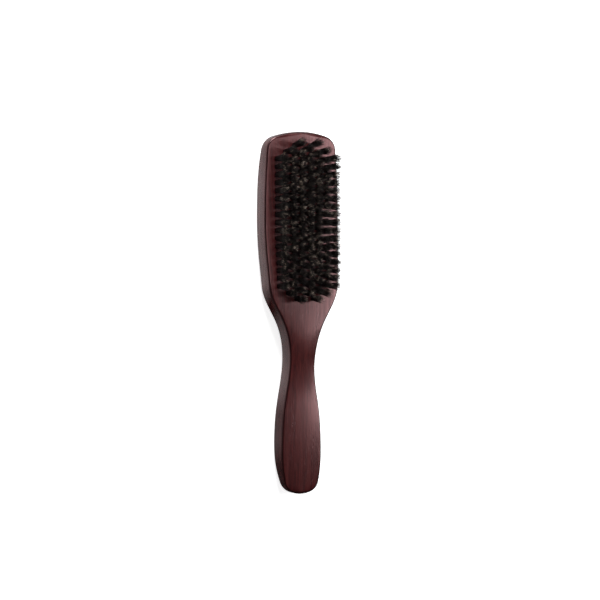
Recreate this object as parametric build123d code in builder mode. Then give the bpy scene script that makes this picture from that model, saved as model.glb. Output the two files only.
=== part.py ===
from build123d import *

import os
from math import atan, cos, degrees, pi, radians, sin, sqrt

# A barber's fade brush: a one-piece hardwood stock with a long club handle,
# and boar-bristle tufts set in blind holes drilled in the face of its head.
# Each tuft is a bundle of bristles folded round a flat steel anchor, which is
# driven into the wood and bites into both sides of the hole.
#
# Frame: the brush lies on its back. +Z points to the bristle tips and +Y to
# the head end. The origin is on the back, midway along the brush.
# All sizes are in millimetres.

# ---------------------------------------------------------------- the stock
stock_length = 220.0
stock_thickness = 13.0
edge_ease = 1.4                     # bevel that eases both long arrises

head_half_width = 24.9              # at the head's widest place
head_widest_from_end = 52.7
head_corner_inset = 2.1             # where the side meets the end, from the widest place inwards
head_end_crown = 5.0                # how far the end bulges past its corners
head_corner_round = 9.1
head_heel_inset = 1.64              # where the side turns into the shoulder
head_heel_from_end = 93.8

shoulder_half_width = 13.76         # at the steepest place of the shoulder
shoulder_from_end = 115.9

waist_half_width = 8.54             # measured from the handle end from here on
waist_from_end = 79.1
grip_start_inset = 1.38             # where the grip starts, from its widest place inwards
grip_start_from_end = 51.5
handle_half_width = 13.42
handle_widest_from_end = 24.7
handle_corner_inset = 2.72
handle_end_crown = 3.5
handle_corner_round = 7.8

# The neck is arched towards the bristles, between two flat stretches of back.
arch_rise = 3.7
arch_head_foot_from_end = 51.0      # from the head end
arch_crest_from_end = 107.7         # from the head end
arch_handle_foot_from_end = 55.9    # from the handle end

# The back sweeps up towards both ends, so that they are thinner than the rest.
sweep_length = 34.0
head_sweep_rise = 5.5
handle_sweep_rise = 7.0

# --------------------------------------------------------- the bristle field
row_spacing = 5.65                  # between neighbouring lengthwise rows
field_heel_from_end = 100.8         # from the head end to the last holes

# One value for the middle row, then for each pair of rows further out.
row_tuft_counts = (17, 18, 17, 17)
row_toe_insets = (11.3, 8.6, 12.3, 16.5)
row_heel_insets = (3.4, 0.0, 3.6, 7.5)

# Holes and tufts are drawn with six flat sides, so that over a hundred of each stay light.
hole_radius = 1.45                  # over the corners
hole_depth = 7.0
hole_sides = 6

tuft_height = 14.5                  # free length above the flat face; all are trimmed level
tuft_tip_radius = 2.1               # over the corners
tuft_clearance = 0.05

side_lean = 3.0                     # degrees, outer rows, outwards
toe_lean = 9.0                      # degrees, tufts at the head end
heel_lean = 3.0                     # degrees, tufts at the heel
side_lean_power = 3                 # how fast the lean fades towards the middle
end_lean_power = 9

# --------------------------------------------------------------- the anchors
anchor_thickness = 0.35
anchor_height = 1.6
anchor_bite = 0.25                  # into the wood, at each side of the hole
fold_height = 0.8                   # bristle folded under the anchor

# ------------------------------------------------------ values worked out
head_corner_half_width = head_half_width - head_corner_inset
head_heel_half_width = head_half_width - head_heel_inset
grip_start_half_width = handle_half_width - grip_start_inset
handle_corner_half_width = handle_half_width - handle_corner_inset
head_end_y = stock_length / 2
handle_end_y = -stock_length / 2
arch_head_foot_y = head_end_y - arch_head_foot_from_end
arch_crest_y = head_end_y - arch_crest_from_end
arch_handle_foot_y = handle_end_y + arch_handle_foot_from_end
head_sweep_y = head_end_y - sweep_length
handle_sweep_y = handle_end_y + sweep_length
outer_row = len(row_tuft_counts) - 1
field_toe_y = head_end_y - min(row_toe_insets)
field_heel_y = head_end_y - field_heel_from_end
drill_overshoot = stock_thickness / 4
trim_level = stock_thickness + tuft_height
trim_margin = arch_rise
hole_turn = 180 / hole_sides        # degrees, puts flat sides where the anchor's ends are
hole_half_width = hole_radius * cos(pi / hole_sides)
anchor_level = fold_height + anchor_height / 2 - hole_depth


def neck_rise(y):
    """Height of the arch at y: on each side of its crest two equal arcs, one hollow and one round."""
    foot_y = arch_head_foot_y if y > arch_crest_y else arch_handle_foot_y
    span = abs(arch_crest_y - foot_y)
    from_foot = span - abs(y - arch_crest_y)
    if from_foot <= 0:
        return 0.0
    arc_radius = (span**2 + arch_rise**2) / (4 * arch_rise)
    if from_foot < span / 2:
        return arc_radius - sqrt(arc_radius**2 - from_foot**2)
    from_crest = span - from_foot
    return arch_rise - arc_radius + sqrt(arc_radius**2 - from_crest**2)


def draw_long_edge(level, first_y, last_y):
    """Draw a long edge of the side view: flat handle from first_y, arched neck, flat head to last_y."""
    half_up = ((arch_handle_foot_y + arch_crest_y) / 2, level + arch_rise / 2)
    half_down = ((arch_head_foot_y + arch_crest_y) / 2, level + arch_rise / 2)
    handle_line = Line((first_y, level), (arch_handle_foot_y, level))
    rising = TangentArc(handle_line @ 1, half_up, tangent=handle_line % 1)
    cresting = TangentArc(rising @ 1, (arch_crest_y, level + arch_rise), tangent=rising % 1)
    falling = TangentArc(cresting @ 1, half_down, tangent=cresting % 1)
    landing = TangentArc(falling @ 1, (arch_head_foot_y, level), tangent=falling % 1)
    Line(landing @ 1, (last_y, level))


def row_seats(row):
    """Holes of one lengthwise row, evenly spread from the toe to the heel; row 0 is the middle one."""
    pair = abs(row)
    first_y = head_end_y - row_toe_insets[pair]
    last_y = field_heel_y + row_heel_insets[pair]
    pitch = (first_y - last_y) / (row_tuft_counts[pair] - 1)
    return [(row * row_spacing, first_y - place * pitch) for place in range(row_tuft_counts[pair])]


def tuft_plane(x, y):
    """Plane at a hole's mouth, square to its tuft; tufts near the field's border lean outwards."""
    across = x / (outer_row * row_spacing)
    along = (2 * y - field_toe_y - field_heel_y) / (field_toe_y - field_heel_y)
    end_lean = toe_lean if along > 0 else heel_lean
    lean_x = radians(side_lean) * across**side_lean_power
    lean_y = radians(end_lean) * along**end_lean_power
    tuft_direction = (sin(lean_x), sin(lean_y), cos(lean_x) * cos(lean_y))
    return Plane(origin=(x, y, stock_thickness + neck_rise(y)), x_dir=(1, 0, 0), z_dir=tuft_direction)


rows = [row_seats(row) for row in range(-outer_row, outer_row + 1)]
all_seats = [seat for row in rows for seat in row]

# A rank is a zigzag line across the head: the tufts with the same place in their rows.
ranks = [[row[place] for row in rows if place < len(row)] for place in range(max(row_tuft_counts))]

os.makedirs("parts", exist_ok=True)

# ------------------------------------------------------------- wooden stock
head_widest = (head_half_width, head_end_y - head_widest_from_end)
head_corner = (head_corner_half_width, head_end_y - head_end_crown)
head_heel = (head_heel_half_width, head_end_y - head_heel_from_end)
shoulder = (shoulder_half_width, head_end_y - shoulder_from_end)
waist = (waist_half_width, handle_end_y + waist_from_end)
grip_start = (grip_start_half_width, handle_end_y + grip_start_from_end)
handle_widest = (handle_half_width, handle_end_y + handle_widest_from_end)
handle_corner = (handle_corner_half_width, handle_end_y + handle_end_crown)

with BuildPart() as wooden_stock:
    with BuildSketch(Plane.YZ):
        with BuildLine():
            draw_long_edge(stock_thickness, handle_end_y, head_end_y)
            draw_long_edge(0, handle_sweep_y, head_sweep_y)
            TangentArc((handle_sweep_y, 0), (handle_end_y, handle_sweep_rise), tangent=(-1, 0))
            TangentArc((head_sweep_y, 0), (head_end_y, head_sweep_rise), tangent=(1, 0))
            Line((handle_end_y, handle_sweep_rise), (handle_end_y, stock_thickness))
            Line((head_end_y, head_sweep_rise), (head_end_y, stock_thickness))
        make_face()
    extrude(amount=head_half_width, both=True)

    with BuildSketch(Plane.XY):
        with BuildLine():
            head_end = TangentArc((0, head_end_y), head_corner, tangent=(1, 0))
            TangentArc(head_widest, head_corner, tangent=(0, 1))
            head_side = TangentArc(head_widest, head_heel, tangent=(0, -1))
            Spline(head_heel, shoulder, waist, tangents=(head_side % 1, (0, -1)))
            Spline(waist, grip_start, handle_widest, tangents=((0, -1), (0, -1)))
            TangentArc(handle_widest, handle_corner, tangent=(0, -1))
            handle_end = TangentArc((0, handle_end_y), handle_corner, tangent=(1, 0))
            Line(head_end @ 0, handle_end @ 0)
        make_face()
        fillet(vertices().sort_by_distance(head_corner)[0], radius=head_corner_round)
        fillet(vertices().sort_by_distance(handle_corner)[0], radius=handle_corner_round)
        mirror(about=Plane.YZ)
    extrude(amount=stock_thickness + arch_rise, mode=Mode.INTERSECT)

    arrises = edges().filter_by(GeomType.LINE, reverse=True)
    chamfer(arrises, length=edge_ease)

    with BuildSketch(*[tuft_plane(x, y).offset(-hole_depth) for x, y in all_seats]):
        RegularPolygon(radius=hole_radius, side_count=hole_sides, rotation=hole_turn)
    extrude(amount=hole_depth + drill_overshoot, mode=Mode.SUBTRACT)

wooden_stock.part.label = "wooden_stock"
export_step(wooden_stock.part, "parts/wooden_stock.step")

# ------------------------------------------------------------- bristle tufts
tuft_root_radius = hole_radius - tuft_clearance
tuft_flare = degrees(atan((tuft_tip_radius - tuft_root_radius) * cos(pi / hole_sides) / tuft_height))

with BuildPart() as tuft:
    with BuildSketch(Plane.XY):
        RegularPolygon(radius=tuft_root_radius, side_count=hole_sides, rotation=hole_turn)
    extrude(amount=tuft_height + trim_margin)
    draft(faces().filter_by(Axis.Z, reverse=True), neutral_plane=Plane.XY, angle=-tuft_flare)
    extrude(faces().sort_by(Axis.Z)[0], amount=hole_depth)
    with Locations((0, 0, anchor_level)):
        Box(4 * hole_radius, anchor_thickness, anchor_height, mode=Mode.SUBTRACT)

for number, seats in enumerate(ranks, start=1):
    with BuildPart() as tuft_rank:
        with Locations(*[tuft_plane(x, y) for x, y in seats]):
            add(tuft.part)
        with Locations((0, 0, trim_level)):
            Box(
                stock_length, 2 * stock_length, 4 * trim_margin,
                align=(Align.CENTER, Align.CENTER, Align.MIN), mode=Mode.SUBTRACT,
            )
    tuft_rank.part.label = f"tuft_rank_{number:02d}"
    export_step(tuft_rank.part, f"parts/tuft_rank_{number:02d}.step")

# ------------------------------------------------------------- steel anchors
anchor_width = 2 * (hole_half_width + anchor_bite)

for number, seats in enumerate(ranks, start=1):
    with BuildPart() as anchor_rank:
        with Locations(*[tuft_plane(x, y).offset(anchor_level) for x, y in seats]):
            Box(anchor_width, anchor_thickness, anchor_height)
    anchor_rank.part.label = f"anchor_rank_{number:02d}"
    export_step(anchor_rank.part, f"parts/anchor_rank_{number:02d}.step")
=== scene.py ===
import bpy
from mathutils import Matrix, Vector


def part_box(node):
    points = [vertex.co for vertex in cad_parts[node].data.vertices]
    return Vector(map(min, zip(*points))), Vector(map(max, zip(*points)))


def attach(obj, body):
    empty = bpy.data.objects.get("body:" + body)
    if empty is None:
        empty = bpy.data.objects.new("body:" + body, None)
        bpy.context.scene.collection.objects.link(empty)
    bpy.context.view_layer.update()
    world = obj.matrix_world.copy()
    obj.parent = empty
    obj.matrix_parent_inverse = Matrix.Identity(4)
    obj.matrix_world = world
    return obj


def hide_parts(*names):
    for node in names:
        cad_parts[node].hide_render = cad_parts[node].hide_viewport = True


bl_info = {
    "name": "Fade brush",
    "version": (1, 0, 0),
    "blender": (4, 5, 0),
    "location": "3D View > Sidebar > Fade Brush",
    "description": "Dresses a wooden fade brush: lacquered stock, bristle tufts, anchors and stage",
    "category": "Add Mesh",
}

from math import cos, pi, radians, sin, sqrt

import bmesh
import bpy
import numpy as np
from mathutils import Matrix, Vector

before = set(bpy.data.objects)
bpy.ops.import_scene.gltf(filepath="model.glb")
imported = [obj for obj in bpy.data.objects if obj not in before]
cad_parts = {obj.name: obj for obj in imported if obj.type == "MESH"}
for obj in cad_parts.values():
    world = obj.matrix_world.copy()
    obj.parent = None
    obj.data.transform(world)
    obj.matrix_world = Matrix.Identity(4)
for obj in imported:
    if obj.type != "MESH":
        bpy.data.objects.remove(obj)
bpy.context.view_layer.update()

MM = 0.001
GOLDEN_ANGLE = pi * (3 - sqrt(5))   # the turn from one seed of a sunflower to the next
TUFT_NODES = sorted(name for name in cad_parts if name.startswith("tuft_rank_"))
ANCHOR_NODES = sorted(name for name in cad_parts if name.startswith("anchor_rank_"))

# How finely the surfaces are cut.
RUN_STEPS = 400                     # along each arc and curve of the outline, as first drawn
OUTLINE_STEPS = 300                 # along one side of the finished outline
EDGE_STEPS = 6                      # round the quarter circle of an arris
FACE_STEPS = 24                     # across a face
BRISTLE_STEPS = 4
BRISTLE_SIDES = 3
WELD_REACH = 0.001 * MM             # points nearer than this become one
CROWN_REACH = 3                     # half width, in edge rounds, from which a crown is full

# Patterns of the wood and the wire: size of one unit along X, Y and Z.
WANDER_SIZE = 70 * MM
WANDER = (3 * MM, 0.0, 3 * MM)      # the grain wanders by half of this to each side
BAND_SIZE = (3 * MM, 90 * MM, 3 * MM)
STREAK_SIZE = (0.6 * MM, 20 * MM, 0.8 * MM)
PORE_SIZE = (0.4 * MM, 5 * MM, 0.4 * MM)
GRAIN_RELIEF = 0.06 * MM
DRAW_MARK_SIZE = (4 * MM, 0.05 * MM, 0.05 * MM)

# How the bristles of a tuft stand, and how they differ.
BRISTLE_SEED = 11
END_DEPTH = 0.6 * MM                # points this near a packed tuft's end belong to that end
ROOT_SINK = 1.0 * MM                # how deep the bristles' drawn feet stand in the wood
SPREAD_POWER = 1.4                  # a tuft widens with this power of the height
PLACE_JITTER = 0.05                 # share of the tuft's radius
STRAY = 0.12                        # share of the tuft's radius, outwards at the tip
BEND = 0.18 * MM                    # sideways at the tip
RIPPLE = 0.05 * MM
RIPPLE_TURN = 9                     # radians of ripple along a bristle
SHORTFALL = 0.35 * MM               # below the level to which the brush was trimmed
BORDER_SHORTFALL = 0.7 * MM         # more, for bristles at the tuft's border
MOST_SHORTFALL = 3.0 * MM
THICKNESS = (0.75, 1.2)             # least and most, as shares of the bristle radius
TAPER = 0.55                        # share of its thickness that a bristle loses by its tip
SHADE_CURVE = (1.2, 2.2)            # beta curve from which shades are drawn, more dark than pale

# Locks are the bristles of a tuft that stick together.
LOCK_COUNT = 16
LOCK_GATHER = 0.12                  # share of the way to the lock's middle
LOCK_BEND = 0.25 * MM
LOCK_SHORTFALL = 0.5 * MM
LOCK_SHADE = (0.1, 2.0)             # least shade of a lock, and how much its cube adds

# The stage: soft boxes as name, place, size and power in watts.
VIEW_TARGET = (-0.23 * MM, 8.0 * MM, 10.5 * MM)
FLOOR_REACH = 3.0
FLOOR_GAP = 0.2 * MM
FLOOR_LIFT = 0.8                    # brings the lit paper up to white where the camera sees it
LAMPS = (
    ("key_box", (-0.12, 0.6, 0.36), (0.25, 0.25), 5.0),
    ("glare_box", (0.367, 0.066, 0.45), (0.36, 0.21), 1.5),
    ("side_strip", (0.46, -0.06, 0.4), (0.2, 0.14), 0.35),
    ("top_box", (0.03, 0.13, 0.5), (0.12, 0.19), 0.28),
)

# White cards on the floor, which only a gloss shows: where each begins and ends
# along the brush, and its brightness. Where cards overlap, they add up.
# Painted reflection: the cards paint the lit floor beside the brush into the gloss of its walls,
# and the black paper between them paints the floor's shadow there.
CARDS = (
    (10 * MM, 180 * MM, 0.85),
    (54 * MM, 86 * MM, 0.15),
    (-52 * MM, -10 * MM, 0.5),
    (-52 * MM, -30 * MM, 0.36),
    (-86 * MM, -52 * MM, 0.34),
    (-130 * MM, -86 * MM, 0.06),
)
CARD_FADE = 8 * MM                  # an end fades from this far inside it to this far outside

# The sky as a light, and the surroundings as a gloss shows them. Heights and
# places are those of a direction of length 1, from -1 to 1.
SKY_LIGHT = 0.18
CEILING_SHINE = 0.03
HORIZON = (0.03, 0.2)               # heights between which the bright horizon fades
DARK_SIDE = (-0.4, 0.1)             # places along the brush between which it brightens
DARK_SHARE = 0.2                    # what is left of it towards the handle end
SWEEP_SIDE = (0.35, 0.75)           # where the white sweep past the head end begins and is full


# ------------------------------------------------------------------ colours
def linear(colour):
    """Turn an sRGB hex colour such as "#3a1c1c" into the linear RGBA that shaders take."""
    channels = np.array([int(colour[place:place + 2], 16) for place in (1, 3, 5)]) / 255
    curved = ((channels + 0.055) / 1.055) ** 2.4
    straight = channels / 12.92
    return (*np.where(channels <= 0.04045, straight, curved).tolist(), 1.0)


# ----------------------------------------------------------------- settings
COLOUR = {"size": 4, "subtype": "COLOR", "min": 0.0, "max": 1.0}


class StockSettings(bpy.types.PropertyGroup):
    """Sizes and stain of the wooden stock."""

    head_widest: bpy.props.FloatProperty(
        name="Head widest", description="Distance of the head's widest place from the head end",
        default=52.7 * MM, unit="LENGTH")
    head_corner_half_width: bpy.props.FloatProperty(
        name="Head corner half width",
        description="Half width where side and end would meet unrounded",
        default=22.8 * MM, unit="LENGTH")
    head_crown: bpy.props.FloatProperty(
        name="Head crown", description="How far the head end bulges past its corners",
        default=5.0 * MM, unit="LENGTH")
    head_corner_round: bpy.props.FloatProperty(
        name="Head corner round", description="Radius of the head's corners",
        default=9.1 * MM, unit="LENGTH")
    head_heel: bpy.props.FloatProperty(
        name="Head heel", description="Distance from the head end to where the shoulder starts",
        default=93.8 * MM, unit="LENGTH")
    head_heel_half_width: bpy.props.FloatProperty(
        name="Head heel half width", description="Half width where the shoulder starts",
        default=23.26 * MM, unit="LENGTH")
    shoulder: bpy.props.FloatProperty(
        name="Shoulder", description="Distance from the head end to the shoulder's steepest place",
        default=115.9 * MM, unit="LENGTH")
    shoulder_half_width: bpy.props.FloatProperty(
        name="Shoulder half width", description="Half width at the shoulder's steepest place",
        default=13.76 * MM, unit="LENGTH")
    waist: bpy.props.FloatProperty(
        name="Waist", description="Distance of the waist from the handle end",
        default=79.1 * MM, unit="LENGTH")
    waist_half_width: bpy.props.FloatProperty(
        name="Waist half width", description="Half width at the waist",
        default=8.54 * MM, unit="LENGTH")
    grip_start: bpy.props.FloatProperty(
        name="Grip start", description="Distance from the handle end to where the grip swells",
        default=51.5 * MM, unit="LENGTH")
    grip_start_half_width: bpy.props.FloatProperty(
        name="Grip start half width", description="Half width where the grip swells",
        default=12.04 * MM, unit="LENGTH")
    handle_widest: bpy.props.FloatProperty(
        name="Handle widest", description="Distance of the handle's widest place from its end",
        default=24.7 * MM, unit="LENGTH")
    handle_half_width: bpy.props.FloatProperty(
        name="Handle half width", description="Half width at the handle's widest place",
        default=13.42 * MM, unit="LENGTH")
    handle_crown: bpy.props.FloatProperty(
        name="Handle crown", description="How far the handle end bulges past its corners",
        default=3.5 * MM, unit="LENGTH")
    handle_corner_half_width: bpy.props.FloatProperty(
        name="Handle corner half width",
        description="Half width where side and end would meet unrounded",
        default=10.7 * MM, unit="LENGTH")
    handle_corner_round: bpy.props.FloatProperty(
        name="Handle corner round", description="Radius of the handle's corners",
        default=7.8 * MM, unit="LENGTH")
    edge_round: bpy.props.FloatProperty(
        name="Edge round", description="Radius of the round-over along both arrises",
        default=1.3 * MM, min=0.2 * MM, unit="LENGTH")
    face_crown: bpy.props.FloatProperty(
        name="Face crown", description="How much sanding has lowered the faces' borders",
        default=0.4 * MM, min=0.0, unit="LENGTH")
    arch_rise: bpy.props.FloatProperty(
        name="Arch rise", description="Height of the neck's arch towards the bristles",
        default=3.7 * MM, min=0.0, unit="LENGTH")
    arch_head_foot: bpy.props.FloatProperty(
        name="Arch foot at the head", description="Distance of the arch's foot from the head end",
        default=51.0 * MM, unit="LENGTH")
    arch_crest: bpy.props.FloatProperty(
        name="Arch crest", description="Distance of the arch's crest from the head end",
        default=107.7 * MM, unit="LENGTH")
    arch_handle_foot: bpy.props.FloatProperty(
        name="Arch foot at the handle",
        description="Distance of the arch's foot from the handle end",
        default=55.9 * MM, unit="LENGTH")
    sweep_length: bpy.props.FloatProperty(
        name="Sweep length", description="Stretch at each end over which the back sweeps up",
        default=34 * MM, unit="LENGTH")
    head_sweep_rise: bpy.props.FloatProperty(
        name="Head sweep rise", description="How far the back has risen at the head end",
        default=5.5 * MM, min=0.0, unit="LENGTH")
    handle_sweep_rise: bpy.props.FloatProperty(
        name="Handle sweep rise", description="How far the back has risen at the handle end",
        default=7.0 * MM, min=0.0, unit="LENGTH")
    stain_dark: bpy.props.FloatVectorProperty(
        name="Dark grain", description="Stain where the grain has taken most of it",
        default=linear("#2b1112"), **COLOUR)
    stain_middle: bpy.props.FloatVectorProperty(
        name="Middle grain", description="Stain over most of the wood",
        default=linear("#421a1a"), **COLOUR)
    stain_light: bpy.props.FloatVectorProperty(
        name="Light grain", description="Stain on the hard, pale streaks",
        default=linear("#532625"), **COLOUR)
    # Painted shade: the nearly black colour given to the face's rounded arris.
    arris_shade_colour: bpy.props.FloatVectorProperty(
        name="Arris colour", description="Colour of the wood where the face is rounded over",
        default=linear("#0d0405"), **COLOUR)
    sheen: bpy.props.FloatVectorProperty(
        name="Sheen", description="Tint that the stained fibres give the gloss of the lacquer",
        default=linear("#ffcbcd"), **COLOUR)


class TuftSettings(bpy.types.PropertyGroup):
    """Sizes and colours of the bristle tufts."""

    row_spacing: bpy.props.FloatProperty(
        name="Row spacing", description="Distance between neighbouring lengthwise rows",
        default=5.65 * MM, unit="LENGTH")
    hole_depth: bpy.props.FloatProperty(
        name="Hole depth", description="Depth of a tuft's root in the wood",
        default=7.0 * MM, unit="LENGTH")
    root_radius: bpy.props.FloatProperty(
        name="Root radius", description="Radius of a tuft where it leaves the wood",
        default=1.45 * MM, unit="LENGTH")
    tip_radius: bpy.props.FloatProperty(
        name="Tip radius", description="Radius of a tuft across its tips",
        default=2.45 * MM, unit="LENGTH")
    bristle_radius: bpy.props.FloatProperty(
        name="Bristle radius", description="Radius of one bristle at its root",
        default=0.105 * MM, unit="LENGTH")
    bristle_count: bpy.props.IntProperty(
        name="Bristles in a tuft", description="Bristle ends that stand in one hole",
        default=140, min=8, max=200)
    # Painted shade: the bristles are made darker towards the wood, where shade deepens inside the
    # tufts.
    root_shade_colour: bpy.props.FloatVectorProperty(
        name="Root colour", description="Colour of the bristles near the wood",
        default=linear("#060302"), **COLOUR)
    shaft_colour: bpy.props.FloatVectorProperty(
        name="Shaft colour", description="Colour of the bristles along their length",
        default=linear("#1b130f"), **COLOUR)
    # Partly wear, partly a painted highlight: the pale ends stand in for the light the bristle tips
    # catch.
    tip_wear_and_glint_colour: bpy.props.FloatVectorProperty(
        name="Tip colour", description="Colour of the worn, split ends of the bristles",
        default=linear("#c4b3a4"), **COLOUR)


class StageSettings(bpy.types.PropertyGroup):
    """Colour of the floor and place of the camera."""

    view_turn: bpy.props.FloatProperty(
        name="View turn", description="How far the camera stands round to the left of the bristles",
        default=radians(26.5), subtype="ANGLE")
    view_pitch: bpy.props.FloatProperty(
        name="View pitch", description="How far the camera stands towards the head end",
        default=radians(2.0), subtype="ANGLE")
    view_distance: bpy.props.FloatProperty(
        name="View distance", description="Distance from the camera to the brush",
        default=1.5, unit="LENGTH")
    view_width: bpy.props.FloatProperty(
        name="View width", description="Width of what the camera takes in at the brush",
        default=0.3644, unit="LENGTH")
    floor_colour: bpy.props.FloatVectorProperty(
        name="Floor colour", description="White paper that the brush lies on",
        default=linear("#f2f2f2"), **COLOUR)


# -------------------------------------------------------------- mesh helpers
def mesh_points(name):
    """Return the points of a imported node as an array, in metres."""
    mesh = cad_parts[name].data
    points = np.empty(len(mesh.vertices) * 3)
    mesh.vertices.foreach_get("co", points)
    return points.reshape(-1, 3)


def grid_faces(rows, columns, closed_columns=False):
    """Return quads that join a grid of points; closed columns join the last to the first."""
    row = np.arange(rows - 1)[:, None]
    column = np.arange(columns if closed_columns else columns - 1)[None, :]
    following = (column + 1) % columns
    quads = (row * columns + column, row * columns + following,
             (row + 1) * columns + following, (row + 1) * columns + column)
    return np.stack(np.broadcast_arrays(*quads), axis=-1).reshape(-1, 4)


def add_piece(name, points, faces, material, nodes):
    """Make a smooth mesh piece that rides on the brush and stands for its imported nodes."""
    mesh = bpy.data.meshes.new(name)
    mesh.from_pydata(points.tolist(), [], faces)
    mesh.validate()
    mesh.shade_smooth()
    mesh.materials.append(material)
    piece = bpy.data.objects.new(name, mesh)
    bpy.context.scene.collection.objects.link(piece)
    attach(piece, "root")
    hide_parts(*nodes)
    return piece


def store(piece, name, values):
    """Write one number per point into an attribute of the piece's mesh."""
    attribute = piece.data.attributes.new(name, "FLOAT", "POINT")
    attribute.data.foreach_set("value", np.ascontiguousarray(values, dtype=np.float32).ravel())


# ----------------------------------------------------------------- materials
def add_node(tree, kind, inputs=None, **properties):
    """Add a shader node with its settings; inputs are values or sockets by name or place."""
    node = tree.nodes.new(kind)
    for name, value in properties.items():
        setattr(node, name, value)
    for name, value in (inputs or {}).items():
        if isinstance(value, bpy.types.NodeSocket):
            tree.links.new(value, node.inputs[name])
        else:
            node.inputs[name].default_value = value
    return node


def new_material(name):
    """Return a material, its node tree emptied, and the output node of that tree."""
    material = bpy.data.materials.new(name)
    material.use_nodes = True
    tree = material.node_tree
    tree.nodes.clear()
    return material, tree, tree.nodes.new("ShaderNodeOutputMaterial")


def scale_for(size):
    """Return the scale at which one unit of a pattern has this size along X, Y and Z."""
    return tuple(1 / length for length in size)


def stained_lacquered_wood(settings):
    """Fine-grained hardwood, stained red-brown, sanded and sprayed with a satin lacquer.

    The stain gathers in the soft grain, so the straight fibres show as long
    streaks; the pores are short dark dashes; the lacquer gives a soft gloss.
    """
    material, tree, output = new_material("stained_lacquered_wood")
    place = add_node(tree, "ShaderNodeTexCoord").outputs["Object"]

    # The grain wanders by up to a millimetre and a half over the length of the brush.
    wander = add_node(tree, "ShaderNodeTexNoise",
                      {"Vector": place, "Scale": 1 / WANDER_SIZE, "Detail": 1.0}).outputs["Color"]
    shift = add_node(tree, "ShaderNodeVectorMath", {0: wander, 1: WANDER},
                     operation="MULTIPLY").outputs["Vector"]
    bent = add_node(tree, "ShaderNodeVectorMath", {0: place, 1: shift},
                    operation="ADD").outputs["Vector"]

    # Growth bands are about 3 mm wide and run most of the length of the brush.
    band_place = add_node(tree, "ShaderNodeMapping",
                          {"Vector": bent, "Scale": scale_for(BAND_SIZE)}).outputs["Vector"]
    band = add_node(tree, "ShaderNodeTexNoise",
                    {"Vector": band_place, "Scale": 1.0, "Detail": 2.0}).outputs["Fac"]
    band_share = add_node(tree, "ShaderNodeMapRange",
                          {"Value": band, "From Min": 0.4, "From Max": 0.66,
                           "To Max": 0.4}).outputs["Result"]

    # Fibre streaks are about 0.6 mm wide and 20 mm long.
    streak_place = add_node(tree, "ShaderNodeMapping",
                            {"Vector": bent, "Scale": scale_for(STREAK_SIZE)}).outputs["Vector"]
    streak = add_node(tree, "ShaderNodeTexNoise",
                      {"Vector": streak_place, "Scale": 1.0, "Detail": 3.0,
                       "Roughness": 0.6}).outputs["Fac"]
    streak_share = add_node(tree, "ShaderNodeMapRange",
                            {"Value": streak, "From Min": 0.36,
                             "From Max": 0.64}).outputs["Result"]

    # Pores are 0.1 mm wide on real wood; they are drawn 0.4 mm wide so that they show.
    pore_place = add_node(tree, "ShaderNodeMapping",
                          {"Vector": bent, "Scale": scale_for(PORE_SIZE)}).outputs["Vector"]
    pore_noise = add_node(tree, "ShaderNodeTexNoise",
                          {"Vector": pore_place, "Scale": 1.0, "Detail": 1.0}).outputs["Fac"]
    pore = add_node(tree, "ShaderNodeMapRange",
                    {"Value": pore_noise, "From Min": 0.6, "From Max": 0.72}).outputs["Result"]
    pore_share = add_node(tree, "ShaderNodeMath", {0: pore, 1: 0.6},
                          operation="MULTIPLY").outputs[0]

    fibres = add_node(tree, "ShaderNodeMix",
                      {0: streak_share, 6: settings.stain_dark, 7: settings.stain_middle},
                      data_type="RGBA").outputs[2]
    banded = add_node(tree, "ShaderNodeMix", {0: band_share, 6: fibres, 7: settings.stain_light},
                      data_type="RGBA").outputs[2]
    pored = add_node(tree, "ShaderNodeMix", {0: pore_share, 6: banded, 7: settings.stain_dark},
                     data_type="RGBA").outputs[2]

    # Painted shade: the rounded arris of the face is made nearly black, standing in for the shade
    # and dark reflection that fall on it.
    arris = add_node(tree, "ShaderNodeAttribute", attribute_name="arris").outputs["Fac"]
    painted_arris_shade = add_node(tree, "ShaderNodeMath", {0: arris, 1: 0.8},
                      operation="MULTIPLY").outputs[0]
    colour = add_node(tree, "ShaderNodeMix", {0: painted_arris_shade, 6: pored, 7: settings.arris_shade_colour},
                      data_type="RGBA").outputs[2]

    # The hard, pale streaks take a better polish.
    gloss = add_node(tree, "ShaderNodeMapRange",
                     {"Value": streak, "From Min": 0.3, "From Max": 0.7,
                      "To Min": 0.25, "To Max": 0.18}).outputs["Result"]
    shine = add_node(tree, "ShaderNodeMapRange",
                     {"Value": streak, "From Min": 0.3, "From Max": 0.7,
                      "To Min": 0.5, "To Max": 0.9}).outputs["Result"]
    relief = add_node(tree, "ShaderNodeMath", {0: streak, 1: pore},
                      operation="SUBTRACT").outputs[0]
    bump = add_node(tree, "ShaderNodeBump",
                    {"Height": relief, "Strength": 0.25,
                     "Distance": GRAIN_RELIEF}).outputs["Normal"]

    # Sanded fibres stretch the gloss across the grain, which runs along Y.
    lengthwise = add_node(tree, "ShaderNodeCombineXYZ",
                          {"X": 0.0, "Y": 1.0, "Z": 0.0}).outputs["Vector"]
    shader = add_node(tree, "ShaderNodeBsdfPrincipled",
                      {"Base Color": colour, "Roughness": gloss, "Normal": bump, "IOR": 1.5,
                       "Specular IOR Level": shine, "Specular Tint": settings.sheen,
                       "Anisotropic": 0.8, "Anisotropic Rotation": 0.25, "Tangent": lengthwise})
    tree.links.new(shader.outputs["BSDF"], output.inputs["Surface"])
    return material


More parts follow.
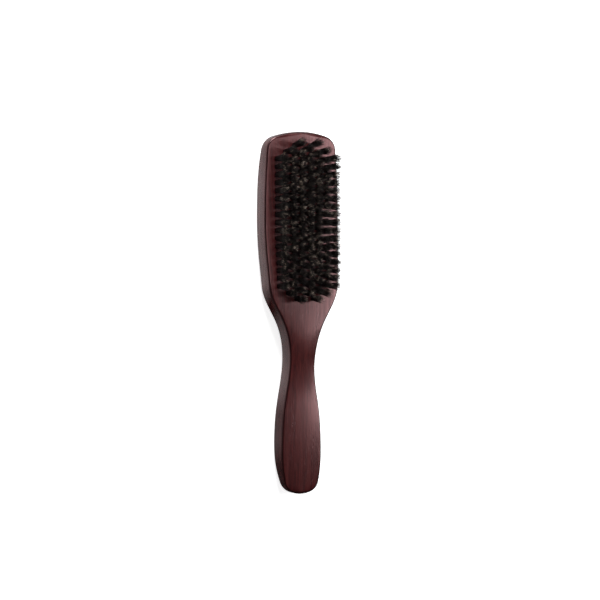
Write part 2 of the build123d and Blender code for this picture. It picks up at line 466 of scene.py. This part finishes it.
def boar_bristle(settings):
    """Natural dark boar bristle, bundled and trimmed.

    Each bristle has its own shade; the ends are split, and on the paler bristles they are made
    pale, partly for wear and partly as a painted highlight for the light the tips catch, so they
    show as specks over nearly black shafts, which are made darker still towards the wood as painted
    shade.
    """
    material, tree, output = new_material("boar_bristle")
    reach = add_node(tree, "ShaderNodeAttribute", attribute_name="reach").outputs["Fac"]
    shade = add_node(tree, "ShaderNodeAttribute", attribute_name="shade").outputs["Fac"]

    # Painted shade: each bristle darkens towards the wood, where shade deepens inside the tufts.
    climb = add_node(tree, "ShaderNodeMapRange",
                     {"Value": reach, "From Min": 0.1, "From Max": 0.8}).outputs["Result"]
    tone = add_node(tree, "ShaderNodeMapRange",
                    {"Value": shade, "To Min": 0.1, "To Max": 3.0}).outputs["Result"]
    paleness = add_node(tree, "ShaderNodeMath", {0: climb, 1: tone},
                        operation="MULTIPLY").outputs[0]
    shaft = add_node(tree, "ShaderNodeMix",
                     {0: paleness, 6: settings.root_shade_colour, 7: settings.shaft_colour},
                     data_type="RGBA").outputs[2]

    # Only the paler bristles have pale ends, over the last fifth of their length: partly wear, and
    # partly a painted highlight for the light the tips catch.
    ending = add_node(tree, "ShaderNodeMapRange",
                      {"Value": reach, "From Min": 0.8, "From Max": 1.0}).outputs["Result"]
    rare = add_node(tree, "ShaderNodeMapRange",
                    {"Value": shade, "From Min": 0.35, "From Max": 0.8}).outputs["Result"]
    wear_and_glint = add_node(tree, "ShaderNodeMath", {0: ending, 1: rare},
                    operation="MULTIPLY").outputs[0]
    colour = add_node(tree, "ShaderNodeMix", {0: wear_and_glint, 6: shaft, 7: settings.tip_wear_and_glint_colour},
                      data_type="RGBA").outputs[2]
    shader = add_node(tree, "ShaderNodeBsdfPrincipled",
                      {"Base Color": colour, "Roughness": 0.45, "IOR": 1.54,
                       "Specular IOR Level": 0.35})
    tree.links.new(shader.outputs["BSDF"], output.inputs["Surface"])
    return material


def flat_drawn_steel():
    """Steel wire, drawn and rolled flat: fine lengthwise draw marks over bright metal."""
    material, tree, output = new_material("flat_drawn_steel")
    place = add_node(tree, "ShaderNodeTexCoord").outputs["Object"]

    # Draw marks are some 0.05 mm apart across the strip.
    drawn = add_node(tree, "ShaderNodeMapping",
                     {"Vector": place, "Scale": scale_for(DRAW_MARK_SIZE)}).outputs["Vector"]
    marks = add_node(tree, "ShaderNodeTexNoise",
                     {"Vector": drawn, "Scale": 1.0, "Detail": 2.0}).outputs["Fac"]
    rough = add_node(tree, "ShaderNodeMapRange",
                     {"Value": marks, "To Min": 0.25, "To Max": 0.45}).outputs["Result"]
    tone = add_node(tree, "ShaderNodeMix",
                    {0: marks, 6: linear("#8f9194"), 7: linear("#c4c6c8")},
                    data_type="RGBA").outputs[2]
    shader = add_node(tree, "ShaderNodeBsdfPrincipled",
                      {"Base Color": tone, "Roughness": rough, "Metallic": 1.0})
    tree.links.new(shader.outputs["BSDF"], output.inputs["Surface"])
    return material


# --------------------------------------------------------------- wooden stock
def arc(centre, start, end):
    """Return points from start to just before end, on the shorter way round the centre."""
    centre, start, end = np.array(centre), np.array(start), np.array(end)
    first = np.arctan2(*(start - centre)[::-1])
    turn = (np.arctan2(*(end - centre)[::-1]) - first + pi) % (2 * pi) - pi
    angles = first + turn * np.linspace(0, 1, RUN_STEPS, endpoint=False)
    spokes = np.stack([np.cos(angles), np.sin(angles)], axis=1)
    return centre + np.linalg.norm(start - centre) * spokes


def tangent_centre(touching, passing, slope):
    """Return the centre of the circle that leaves one point along a slope and passes another.

    The slope has length 1. The centre lies square to it, as far away as
    half the squared step between the points, over that step's part
    square to the slope.
    """
    across = np.array([-slope[1], slope[0]])
    step = np.array(passing) - np.array(touching)
    return np.array(touching) + across * (step @ step) / (2 * step @ across)


def corner_points(corner, centre_a, radius_a, centre_b, radius_b, corner_round):
    """Return the centre of the rounding where two arcs meet, and its two touching points.

    The centre lies inside both circles, one rounding radius short of each:
    of the two crossings of circles drawn that much smaller, it is the one
    nearer to the corner.
    """
    inner_a, inner_b = radius_a - corner_round, radius_b - corner_round
    gap = centre_b - centre_a
    distance = np.linalg.norm(gap)
    along = (inner_a**2 - inner_b**2 + distance**2) / (2 * distance)
    aside = np.sqrt(inner_a**2 - along**2)
    middle = centre_a + gap / distance * along
    sideways = np.array([-gap[1], gap[0]]) / distance * aside
    crossings = (middle + sideways, middle - sideways)
    centre = min(crossings, key=lambda point: np.linalg.norm(point - corner))
    touch_a = centre + (centre - centre_a) / inner_a * corner_round
    touch_b = centre + (centre - centre_b) / inner_b * corner_round
    return centre, touch_a, touch_b


def smooth_run(start, middle, end, start_slope, end_slope):
    """Return points on two cubics through three points, with set end slopes.

    Each point's parameter is the straight distance from the one before;
    the slope at the middle is the one that leaves no jump in curvature.
    """
    start, middle, end = np.array(start), np.array(middle), np.array(end)
    start_slope, end_slope = np.array(start_slope), np.array(end_slope)
    first, second = np.linalg.norm(middle - start), np.linalg.norm(end - middle)
    pull = 3 * (second / first * (middle - start) + first / second * (end - middle))
    middle_slope = (pull - second * start_slope - first * end_slope) / (2 * (first + second))
    t = np.linspace(0, 1, RUN_STEPS, endpoint=False)[:, None]

    def cubic(p, q, slope_p, slope_q, reach):
        return ((2 * t**3 - 3 * t**2 + 1) * p + (t**3 - 2 * t**2 + t) * reach * slope_p
                + (3 * t**2 - 2 * t**3) * q + (t**3 - t**2) * reach * slope_q)

    return np.concatenate([cubic(start, middle, start_slope, middle_slope, first),
                           cubic(middle, end, middle_slope, end_slope, second)])


def half_outline(settings):
    """Return the right half of the stock's outline, from the head end to the handle end.

    End arcs, side arcs and rounded corners at both ends, and two smooth
    runs between them, through the shoulder and through the start of the
    grip. The result is cut into steps of equal length.
    """
    low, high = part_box("wooden_stock")
    head_end, handle_end = high.y, low.y
    head_widest = (high.x, head_end - settings.head_widest)
    head_corner = (settings.head_corner_half_width, head_end - settings.head_crown)
    head_heel = (settings.head_heel_half_width, head_end - settings.head_heel)
    shoulder = (settings.shoulder_half_width, head_end - settings.shoulder)
    waist = (settings.waist_half_width, handle_end + settings.waist)
    grip_start = (settings.grip_start_half_width, handle_end + settings.grip_start)
    handle_widest = (settings.handle_half_width, handle_end + settings.handle_widest)
    handle_corner = (settings.handle_corner_half_width, handle_end + settings.handle_crown)

    across, down, up = (1.0, 0.0), (0.0, -1.0), (0.0, 1.0)
    head_centre = tangent_centre((0.0, head_end), head_corner, across)
    upper_centre = tangent_centre(head_widest, head_corner, up)
    side_centre = tangent_centre(head_widest, head_heel, down)
    lower_centre = tangent_centre(handle_widest, handle_corner, down)
    handle_centre = tangent_centre((0.0, handle_end), handle_corner, across)

    head_round, head_start, head_finish = corner_points(
        head_corner, head_centre, head_end - head_centre[1],
        upper_centre, head_widest[0] - upper_centre[0], settings.head_corner_round)
    handle_round, handle_finish, handle_start = corner_points(
        handle_corner, handle_centre, handle_centre[1] - handle_end,
        lower_centre, handle_widest[0] - lower_centre[0], settings.handle_corner_round)

    heel_spoke = np.array(head_heel) - side_centre
    heel_slope = np.array([heel_spoke[1], -heel_spoke[0]]) / np.linalg.norm(heel_spoke)

    points = np.concatenate([
        arc(head_centre, (0.0, head_end), head_start),
        arc(head_round, head_start, head_finish),
        arc(upper_centre, head_finish, head_widest),
        arc(side_centre, head_widest, head_heel),
        smooth_run(head_heel, shoulder, waist, heel_slope, down),
        smooth_run(waist, grip_start, handle_widest, down, down),
        arc(lower_centre, handle_widest, handle_start),
        arc(handle_round, handle_start, handle_finish),
        arc(handle_centre, handle_finish, (0.0, handle_end)),
        [(0.0, handle_end)],
    ])
    steps = np.linalg.norm(np.diff(points, axis=0), axis=1)
    lengths = np.concatenate([[0], np.cumsum(steps)])
    even = np.linspace(0, lengths[-1], OUTLINE_STEPS + 1)
    return np.stack([np.interp(even, lengths, points[:, axis]) for axis in (0, 1)], axis=1)


def neck_rise(y, settings):
    """Return the arch's height at each y: from each foot up, a hollow arc, then a round one.

    Both have the radius that joins them midway: the squared span from foot
    to crest plus the squared rise, over four times the rise.
    """
    low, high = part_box("wooden_stock")
    arch_rise = settings.arch_rise
    crest = high.y - settings.arch_crest
    head_foot, handle_foot = high.y - settings.arch_head_foot, low.y + settings.arch_handle_foot
    span = np.abs(crest - np.where(y > crest, head_foot, handle_foot))
    radius = (span**2 + arch_rise**2) / (4 * arch_rise)
    from_foot = np.clip(span - np.abs(y - crest), 0, span)
    from_crest = span - from_foot
    hollow = radius - np.sqrt(radius**2 - np.minimum(from_foot, span / 2)**2)
    crown = arch_rise - radius + np.sqrt(radius**2 - np.minimum(from_crest, span / 2)**2)
    return np.where(from_foot < span / 2, hollow, crown)


def end_sweep(y, settings):
    """Return how far the back has risen at each y.

    It is one arc towards each end, level with the back where it starts:
    the radius less the root of its square less the squared way along it.
    """
    low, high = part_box("wooden_stock")
    reach = settings.sweep_length
    rise = np.zeros_like(y)
    for from_end, end_rise in ((high.y - y, settings.head_sweep_rise),
                               (y - low.y, settings.handle_sweep_rise)):
        radius = (reach**2 + end_rise**2) / (2 * end_rise)
        rise += radius - np.sqrt(radius**2 - np.clip(reach - from_end, 0, reach)**2)
    return rise


def build_stock(settings):
    """Build the stock: a slab that follows its outline, arch and end sweeps.

    Round the outline, each ring is the outline moved inwards by the share
    of the edge round that its place on a quarter circle gives. Each face
    is a grid across the brush between the two sides of its inmost ring,
    lowered towards the border by the square of the distance from the middle.
    The third result is how far each point is into the arris of the face, where the material paints
    shade.
    """
    right = half_outline(settings)
    left = right[-2:0:-1] * (-1, 1)
    loop = np.concatenate([right, left])
    tangent = np.roll(loop, -1, axis=0) - np.roll(loop, 1, axis=0)
    inward = np.stack([tangent[:, 1], -tangent[:, 0]], axis=1)
    inward /= np.linalg.norm(tangent, axis=1)[:, None]

    low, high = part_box("wooden_stock")
    thickness = high.z - low.z - settings.arch_rise
    edge = settings.edge_round
    back_rings = EDGE_STEPS + 1
    quarter = np.linspace(0, pi / 2, EDGE_STEPS + 1)
    inset = edge * np.concatenate([1 - np.sin(quarter), 1 - np.cos(quarter)])
    level = np.concatenate([edge * (1 - np.cos(quarter)) + settings.face_crown,
                            thickness - edge * (1 - np.sin(quarter)) - settings.face_crown])

    ring_xy = loop[None] + inward[None] * inset[:, None, None]
    ring_z = level[:, None] + neck_rise(ring_xy[..., 1], settings)
    ring_z[:back_rings] += end_sweep(ring_xy[:back_rings, :, 1], settings)
    wall = np.concatenate([ring_xy, ring_z[..., None]], axis=2).reshape(-1, 3)

    share = np.linspace(-1, 1, FACE_STEPS + 1)
    pieces = [wall]
    faces = [grid_faces(len(inset), len(loop), closed_columns=True)]
    for ring, is_back in ((0, True), (len(inset) - 1, False)):
        border = ring_xy[ring][:OUTLINE_STEPS + 1]
        x = border[:, :1] * share
        y = np.broadcast_to(border[:, 1:], x.shape)
        fullness = np.minimum(border[:, :1] / (CROWN_REACH * edge), 1)
        crown = settings.face_crown * (1 - share**2) * fullness
        lift = end_sweep(y, settings) - crown if is_back else crown
        z = level[ring] + neck_rise(y, settings) + lift
        quads = grid_faces(*x.shape) + sum(len(piece) for piece in pieces)
        faces.append(quads[:, ::-1] if is_back else quads)
        pieces.append(np.stack([x, y, z], axis=2).reshape(-1, 3))

    arris = np.zeros(sum(len(piece) for piece in pieces))
    into_arris = np.concatenate([np.zeros(back_rings), np.sin(2 * quarter)])
    arris[:len(wall)] = np.repeat(into_arris, len(loop))
    return np.concatenate(pieces), np.concatenate(faces).tolist(), arris


# --------------------------------------------------------------------- tufts
def tuft_axes(node, settings):
    """Return the mouths and directions of the tufts of one rank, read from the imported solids.

    Rows stand a row spacing apart, so x in whole row spacings tells the
    tufts apart. A tuft's root and tip are the middles of the points at
    its bottom and at its top.
    """
    points = mesh_points(node)
    outer_row = int(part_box(node)[1].x / settings.row_spacing)
    rows = np.clip(np.round(points[:, 0] / settings.row_spacing), -outer_row, outer_row)
    mouths, directions = [], []
    for row in np.unique(rows):
        tuft = points[rows == row]
        bottom = tuft[tuft[:, 2] < tuft[:, 2].min() + END_DEPTH]
        top = tuft[tuft[:, 2] > tuft[:, 2].max() - END_DEPTH]
        root = (bottom.min(axis=0) + bottom.max(axis=0)) / 2
        tip = (top.min(axis=0) + top.max(axis=0)) / 2
        direction = (tip - root) / np.linalg.norm(tip - root)
        mouths.append(root + direction * settings.hole_depth)
        directions.append(direction)
    return np.array(mouths), np.array(directions)


def build_tufts(node, settings, random):
    """Build every bristle of one rank as a thin three-sided horn.

    A bristle starts at its place in a sunflower disc at the hole's mouth.
    Its line is the tuft's axis, plus a spread outwards that grows with a
    power of its height, plus a bend and a ripple of its own. It leans
    towards the middle of its lock, which bends its own way and has its own
    shade. It ends at the level to which the brush was trimmed, less a
    shortfall that is greatest at the tuft's border. Its thickness falls off
    with the cube of its height, towards the split end.
    """
    mouths, directions = tuft_axes(node, settings)
    tufts, count = len(mouths), settings.bristle_count
    sideways = np.cross((0.0, 1.0, 0.0), directions)
    sideways /= np.linalg.norm(sideways, axis=1)[:, None]
    forward = np.cross(directions, sideways)

    order = np.arange(count) + 0.5
    disc = np.sqrt(order / count)
    turn = order * GOLDEN_ANGLE + random.uniform(0, 2 * pi, (tufts, 1))
    jitter = random.normal(0, PLACE_JITTER, (2, tufts, count))
    place = np.stack([disc * np.cos(turn) + jitter[0], disc * np.sin(turn) + jitter[1]], axis=-1)

    # A bristle belongs to the lock whose middle is nearest to its place.
    middles = random.uniform(-1, 1, (tufts, 1, LOCK_COUNT, 2))
    lock = np.argmin(np.linalg.norm(place[:, :, None] - middles, axis=-1), axis=-1)

    def by_lock(values):
        return np.take_along_axis(values, lock[..., None], axis=1)

    gather = by_lock(middles[:, 0]) - place
    lock_bend = by_lock(random.normal(0, LOCK_BEND, (tufts, LOCK_COUNT, 2)))
    lock_shade = by_lock(random.uniform(0, 1, (tufts, LOCK_COUNT, 1)))[..., 0]
    lock_short = by_lock(random.uniform(0, LOCK_SHORTFALL, (tufts, LOCK_COUNT, 1)))[..., 0]

    shortfall = np.abs(random.normal(0, SHORTFALL, (tufts, count)))
    shortfall += BORDER_SHORTFALL * disc**3 + lock_short
    bend = random.normal(0, BEND, (tufts, count, 1, 2)) + lock_bend[:, :, None]
    ripple = random.normal(0, RIPPLE, (tufts, count, 1, 2))
    phase = random.uniform(0, 2 * pi, (tufts, count, 1, 1))
    stray = np.abs(random.normal(0, STRAY, (tufts, count, 1, 1)))

    climb = np.linspace(0, 1, BRISTLE_STEPS + 1)
    height = climb[:, None]
    widening = settings.tip_radius - settings.root_radius
    spread = settings.root_radius + widening * height**SPREAD_POWER
    ways = (place[:, :, None] * (1 + stray * height**2)
            + LOCK_GATHER * gather[:, :, None] * height**2)
    drift = ways * spread + bend * height**2 + ripple * np.sin(RIPPLE_TURN * height + phase)

    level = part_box(node)[1].z - np.minimum(shortfall, MOST_SHORTFALL)
    tilt = drift[:, :, -1, 0] * sideways[:, 2:] + drift[:, :, -1, 1] * forward[:, 2:]
    length = (level - mouths[:, 2:] - tilt) / directions[:, 2:]
    rise = -ROOT_SINK + (length[..., None] + ROOT_SINK) * climb
    line = (mouths[:, None, None] + directions[:, None, None] * rise[..., None]
            + sideways[:, None, None] * drift[..., :1] + forward[:, None, None] * drift[..., 1:])

    thickness = random.uniform(*THICKNESS, (tufts, count, 1))
    radius = settings.bristle_radius * thickness * (1 - TAPER * climb**3)
    corner = 2 * pi * np.arange(BRISTLE_SIDES) / BRISTLE_SIDES
    ring = (sideways[:, None, None, None] * np.cos(corner)[:, None]
            + forward[:, None, None, None] * np.sin(corner)[:, None])
    points = line[..., None, :] + radius[..., None, None] * ring

    rings = BRISTLE_STEPS + 1
    shell = grid_faces(rings, BRISTLE_SIDES, closed_columns=True)
    foot = np.arange(BRISTLE_SIDES)[::-1]
    end = np.arange(BRISTLE_SIDES) + BRISTLE_STEPS * BRISTLE_SIDES
    starts = np.arange(tufts * count)[:, None, None] * rings * BRISTLE_SIDES
    shells = (shell[None] + starts).reshape(-1, 4)
    caps = (np.stack([foot, end])[None] + starts).reshape(-1, BRISTLE_SIDES)

    least, more = LOCK_SHADE
    shade = random.beta(*SHADE_CURVE, (tufts, count)) * (least + more * lock_shade**3)
    reach = np.broadcast_to(height, points.shape[:-1])
    shade = np.broadcast_to(shade[..., None, None], points.shape[:-1])
    return points.reshape(-1, 3), shells.tolist() + caps.tolist(), reach, shade


# ----------------------------------------------------------------- operators
class FADE_BRUSH_OT_stock(bpy.types.Operator):
    """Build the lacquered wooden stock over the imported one"""

    bl_idname = "fade_brush.stock"
    bl_label = "Wooden Stock"

    def execute(self, context):
        settings = context.scene.fade_brush_stock
        points, faces, arris = build_stock(settings)
        piece = add_piece("lacquered_stock", points, faces, stained_lacquered_wood(settings),
                          ["wooden_stock"])
        # The arris attribute tells the material where to paint shade along the face's arris.
        store(piece, "arris", arris)
        weld = bmesh.new()
        weld.from_mesh(piece.data)
        bmesh.ops.remove_doubles(weld, verts=weld.verts, dist=WELD_REACH)
        bmesh.ops.recalc_face_normals(weld, faces=weld.faces)
        weld.to_mesh(piece.data)
        weld.free()
        return {"FINISHED"}


class FADE_BRUSH_OT_tufts(bpy.types.Operator):
    """Build the bristles of every tuft, rank by rank"""

    bl_idname = "fade_brush.tufts"
    bl_label = "Bristle Tufts"

    def execute(self, context):
        settings = context.scene.fade_brush_tufts
        material = boar_bristle(settings)
        random = np.random.default_rng(BRISTLE_SEED)
        for node in TUFT_NODES:
            points, faces, reach, shade = build_tufts(node, settings, random)
            name = node.replace("tuft", "bristle")
            piece = add_piece(name, points, faces, material, [node])
            store(piece, "reach", reach)
            store(piece, "shade", shade)
        return {"FINISHED"}


class FADE_BRUSH_OT_anchors(bpy.types.Operator):
    """Give the steel anchors in the wood their finish"""

    bl_idname = "fade_brush.anchors"
    bl_label = "Steel Anchors"

    def execute(self, context):
        steel = flat_drawn_steel()
        for node in ANCHOR_NODES:
            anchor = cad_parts[node]
            anchor.data.materials.clear()
            anchor.data.materials.append(steel)
        return {"FINISHED"}


class FADE_BRUSH_OT_stage(bpy.types.Operator):
    """Set the floor, the lamps, the sky and the camera"""

    bl_idname = "fade_brush.stage"
    bl_label = "Stage"

    def execute(self, context):
        settings = context.scene.fade_brush_stage
        add_floor(settings)
        add_lamps()
        add_sky()
        add_camera(settings)
        context.scene.view_settings.view_transform = "Standard"
        return {"FINISHED"}


class FADE_BRUSH_PT_panel(bpy.types.Panel):
    """Buttons that build the brush, and its sizes and colours"""

    bl_idname = "FADE_BRUSH_PT_panel"
    bl_label = "Fade Brush"
    bl_space_type = "VIEW_3D"
    bl_region_type = "UI"
    bl_category = "Fade Brush"

    def draw(self, context):
        for operator in OPERATORS:
            self.layout.operator(operator.bl_idname)
        for group in SETTINGS:
            settings = getattr(context.scene, group)
            for name in settings.__annotations__:
                self.layout.prop(settings, name)


# --------------------------------------------------------------------- stage
def add_floor(settings):
    """Lay a square white sheet under the brush.

    The camera sees it as plain white. A gloss sees only its cards: black paper between them, and
    each card's brightness fading across its ends. The cards paint the lit floor, and the black
    paper the floor's shadow, into the gloss of the brush.
    """
    reach = FLOOR_REACH * np.array([(-1, -1), (1, -1), (1, 1), (-1, 1)])
    points = np.column_stack([reach, np.full(4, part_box("wooden_stock")[0].z - FLOOR_GAP)])
    mesh = bpy.data.meshes.new("white_floor")
    mesh.from_pydata(points.tolist(), [], [(0, 1, 2, 3)])
    floor = bpy.data.objects.new("white_floor", mesh)
    bpy.context.scene.collection.objects.link(floor)

    material, tree, output = new_material("white_paper")
    ray = add_node(tree, "ShaderNodeLightPath").outputs
    mirrored = add_node(tree, "ShaderNodeMath",
                        {0: ray["Is Glossy Ray"], 1: ray["Is Transmission Ray"]},
                        operation="MAXIMUM").outputs[0]
    place = add_node(tree, "ShaderNodeTexCoord").outputs["Object"]
    along = add_node(tree, "ShaderNodeSeparateXYZ", {0: place}).outputs["Y"]
    cards = 0.0
    for first, last, brightness in CARDS:
        half = (last - first) / 2
        offset = add_node(tree, "ShaderNodeMath", {0: along, 1: (first + last) / 2},
                          operation="SUBTRACT").outputs[0]
        distance = add_node(tree, "ShaderNodeMath", {0: offset}, operation="ABSOLUTE").outputs[0]
        card = add_node(tree, "ShaderNodeMapRange",
                        {"Value": distance, "From Min": half + CARD_FADE,
                         "From Max": half - CARD_FADE, "To Max": brightness}).outputs["Result"]
        cards = add_node(tree, "ShaderNodeMath", {0: cards, 1: card}, operation="ADD").outputs[0]

    lift = 0.0
    for seen, level in ((mirrored, cards), (ray["Is Camera Ray"], FLOOR_LIFT)):
        lift = add_node(tree, "ShaderNodeMix", {0: seen, 2: lift, 3: level}).outputs[0]
    # To a gloss the paper is black: a painted shadow of the floor in the brush's gloss, lit only
    # where the cards lie.
    tone = add_node(tree, "ShaderNodeMix",
                    {0: mirrored, 6: settings.floor_colour, 7: linear("#000000")},
                    data_type="RGBA").outputs[2]
    glow = add_node(tree, "ShaderNodeEmission", {"Strength": lift}).outputs[0]
    paper = add_node(tree, "ShaderNodeBsdfDiffuse", {"Color": tone}).outputs[0]
    both = add_node(tree, "ShaderNodeAddShader", {0: glow, 1: paper})
    tree.links.new(both.outputs[0], output.inputs["Surface"])
    mesh.materials.append(material)


def add_lamps():
    """Hang the soft boxes round the brush, each turned to face its middle."""
    for name, place, size, power in LAMPS:
        lamp = bpy.data.lights.new(name, "AREA")
        lamp.shape = "RECTANGLE"
        lamp.size, lamp.size_y = size
        lamp.energy = power
        holder = bpy.data.objects.new(name, lamp)
        bpy.context.scene.collection.objects.link(holder)
        aim = Vector(place).to_track_quat("Z", "Y").to_matrix().to_4x4()
        holder.matrix_world = Matrix.Translation(place) @ aim


def add_sky():
    """Set the sky: white to the camera, dim as a light, a bright horizon to a gloss.

    The horizon fades upwards and towards the handle end; past the head end
    stands a white sweep, which doesn't fade upwards.
    """
    sky = bpy.data.worlds.new("studio_sky")
    sky.use_nodes = True
    bpy.context.scene.world = sky
    tree = sky.node_tree
    tree.nodes.clear()
    ray = add_node(tree, "ShaderNodeLightPath").outputs
    place = add_node(tree, "ShaderNodeTexCoord").outputs["Generated"]
    facing = add_node(tree, "ShaderNodeSeparateXYZ", {0: place}).outputs

    low = add_node(tree, "ShaderNodeMapRange",
                   {"Value": facing["Z"], "From Min": HORIZON[0], "From Max": HORIZON[1],
                    "To Min": 1.0, "To Max": CEILING_SHINE}).outputs["Result"]
    bright_side = add_node(tree, "ShaderNodeMapRange",
                           {"Value": facing["Y"], "From Min": DARK_SIDE[0],
                            "From Max": DARK_SIDE[1], "To Min": DARK_SHARE}).outputs["Result"]
    sweep = add_node(tree, "ShaderNodeMapRange",
                     {"Value": facing["Y"], "From Min": SWEEP_SIDE[0],
                      "From Max": SWEEP_SIDE[1]}).outputs["Result"]
    horizon = add_node(tree, "ShaderNodeMath", {0: low, 1: bright_side},
                       operation="MULTIPLY").outputs[0]
    mirrored = add_node(tree, "ShaderNodeMath", {0: horizon, 1: sweep},
                        operation="MAXIMUM").outputs[0]
    plain = add_node(tree, "ShaderNodeMath",
                     {0: ray["Is Camera Ray"], 1: ray["Is Transmission Ray"]},
                     operation="MAXIMUM").outputs[0]

    strength = SKY_LIGHT
    for seen, level in ((ray["Is Glossy Ray"], mirrored), (plain, 1.0)):
        strength = add_node(tree, "ShaderNodeMix", {0: seen, 2: strength, 3: level}).outputs[0]
    shine = add_node(tree, "ShaderNodeBackground",
                     {"Color": linear("#ffffff"), "Strength": strength})
    output = add_node(tree, "ShaderNodeOutputWorld")
    tree.links.new(shine.outputs["Background"], output.inputs["Surface"])


def add_camera(settings):
    """Stand the camera over the brush, turned to its left, with the head end up."""
    turn, pitch = settings.view_turn, settings.view_pitch
    backward = Vector((-sin(turn) * cos(pitch), sin(pitch), cos(turn) * cos(pitch)))
    right = Vector((0, 1, 0)).cross(backward).normalized()
    upward = backward.cross(right)
    axes = Matrix((right, upward, backward)).transposed().to_4x4()
    lens = bpy.data.cameras.new("studio_camera")
    lens.lens = lens.sensor_width * settings.view_distance / settings.view_width
    camera = bpy.data.objects.new("studio_camera", lens)
    bpy.context.scene.collection.objects.link(camera)
    place = Vector(VIEW_TARGET) + backward * settings.view_distance
    camera.matrix_world = Matrix.Translation(place) @ axes
    bpy.context.scene.camera = camera


# ------------------------------------------------------------------ register
SETTINGS = {
    "fade_brush_stock": StockSettings,
    "fade_brush_tufts": TuftSettings,
    "fade_brush_stage": StageSettings,
}
OPERATORS = (
    FADE_BRUSH_OT_stage,
    FADE_BRUSH_OT_stock,
    FADE_BRUSH_OT_anchors,
    FADE_BRUSH_OT_tufts,
)
CLASSES = (*SETTINGS.values(), *OPERATORS, FADE_BRUSH_PT_panel)


def register():
    for cls in CLASSES:
        bpy.utils.register_class(cls)
    for name, cls in SETTINGS.items():
        setattr(bpy.types.Scene, name, bpy.props.PointerProperty(type=cls))


def unregister():
    for name in SETTINGS:
        delattr(bpy.types.Scene, name)
    for cls in reversed(CLASSES):
        bpy.utils.unregister_class(cls)


def main():
    """Build everything."""
    register()
    bpy.ops.fade_brush.stage()
    bpy.ops.fade_brush.stock()
    bpy.ops.fade_brush.anchors()
    bpy.ops.fade_brush.tufts()


if __name__ == "__main__":
    main()
